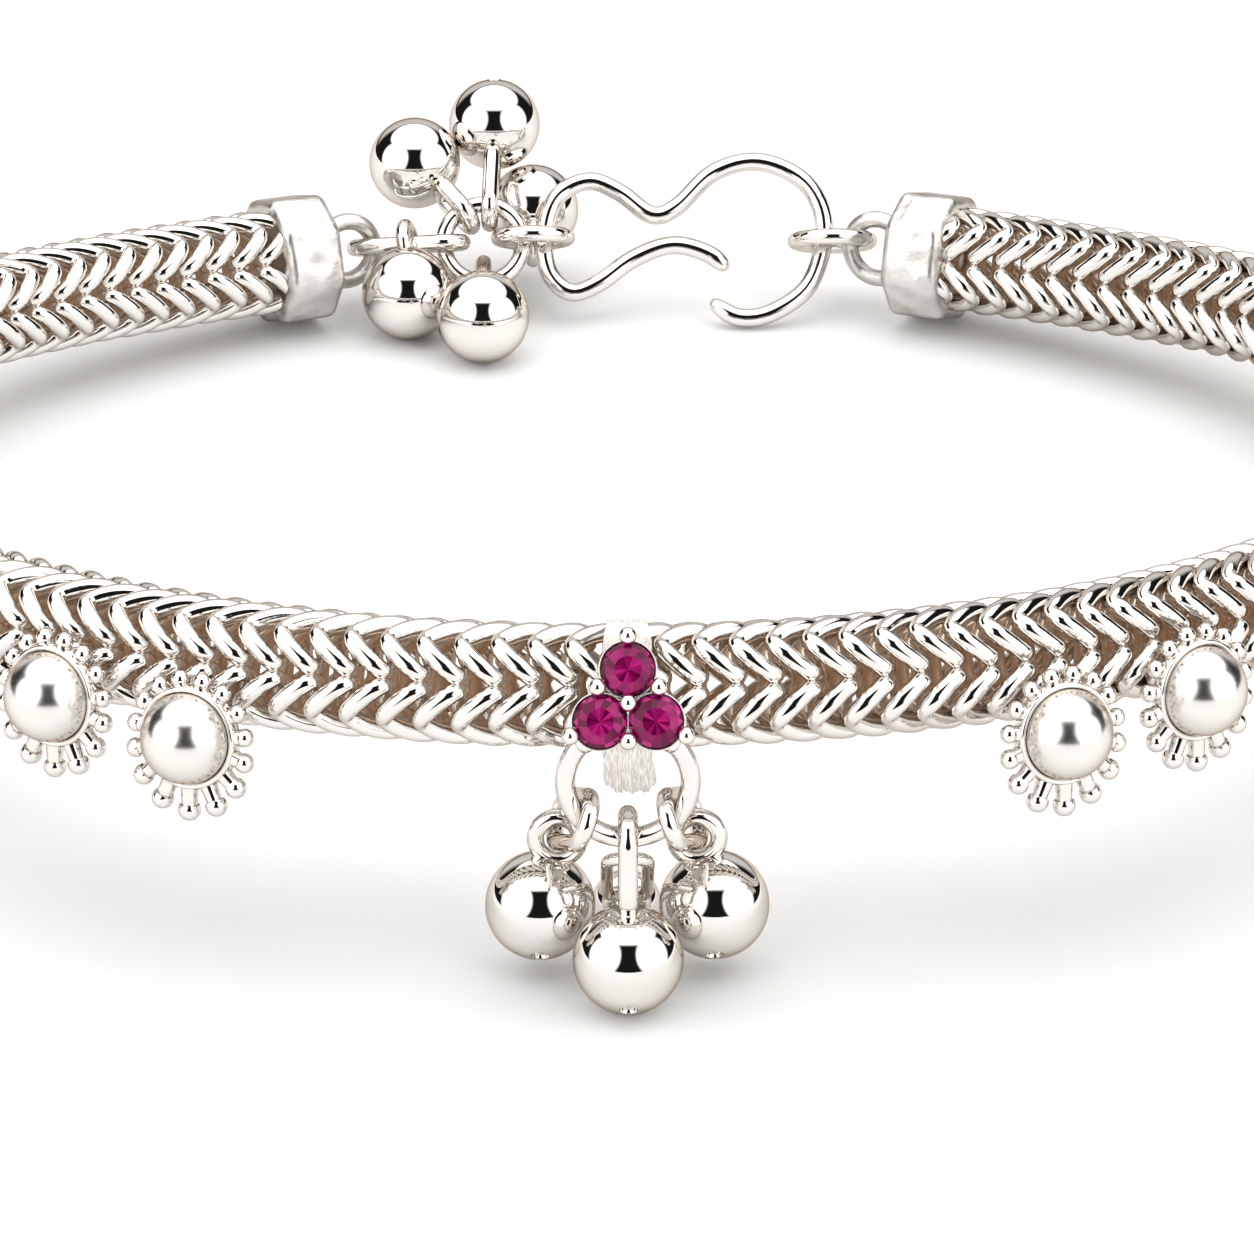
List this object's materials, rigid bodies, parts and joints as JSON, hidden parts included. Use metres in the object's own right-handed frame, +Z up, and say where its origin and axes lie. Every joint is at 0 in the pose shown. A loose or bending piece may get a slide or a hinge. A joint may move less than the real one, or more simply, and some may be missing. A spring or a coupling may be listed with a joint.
{
  "type": "anklet",
  "caption": "Silver anklet of square woven chain with a ruby cluster, ball drops, sunflower charms and an S-hook clasp, lying closed as a whole loop.",
  "frame": {"origin": "the middle of the surface that the anklet lies on, under the centre of its box", "axes": "+Z up from the surface, +Y from the front setting to the clasp, +X to the right as seen from the front"},
  "size_m": [0.0906, 0.0898, 0.0182],
  "materials": {
    "polished_silver": "polished",
    "hammered_silver": "hammered satin",
    "ruby": "faceted and polished"
  },
  "bodies": {
    "root": {"woven_chain_left": "polished_silver", "woven_chain_right": "polished_silver", "end_cap_left": "hammered_silver", "end_cap_right": "hammered_silver", "setting": "polished_silver", "stone_top": "ruby", "stone_left": "ruby", "stone_right": "ruby", "ball_front": "polished_silver", "ball_left": "polished_silver", "ball_right": "polished_silver", "ball_small": "polished_silver", "side_link_left": "polished_silver", "side_link_right": "polished_silver", "flower_left_outer": "polished_silver", "flower_left_inner": "polished_silver", "flower_right_inner": "polished_silver", "flower_right_outer": "polished_silver", "cap_link": "polished_silver", "middle_ring": "polished_silver", "hook_ring_left": "polished_silver", "s_hook": "polished_silver", "hook_ring_right": "polished_silver", "back_ball_top": "polished_silver", "back_ball_left": "polished_silver", "back_ball_right": "polished_silver", "back_ball_low": "polished_silver", "back_ball_near": "polished_silver"}
  },
  "joints": []
}
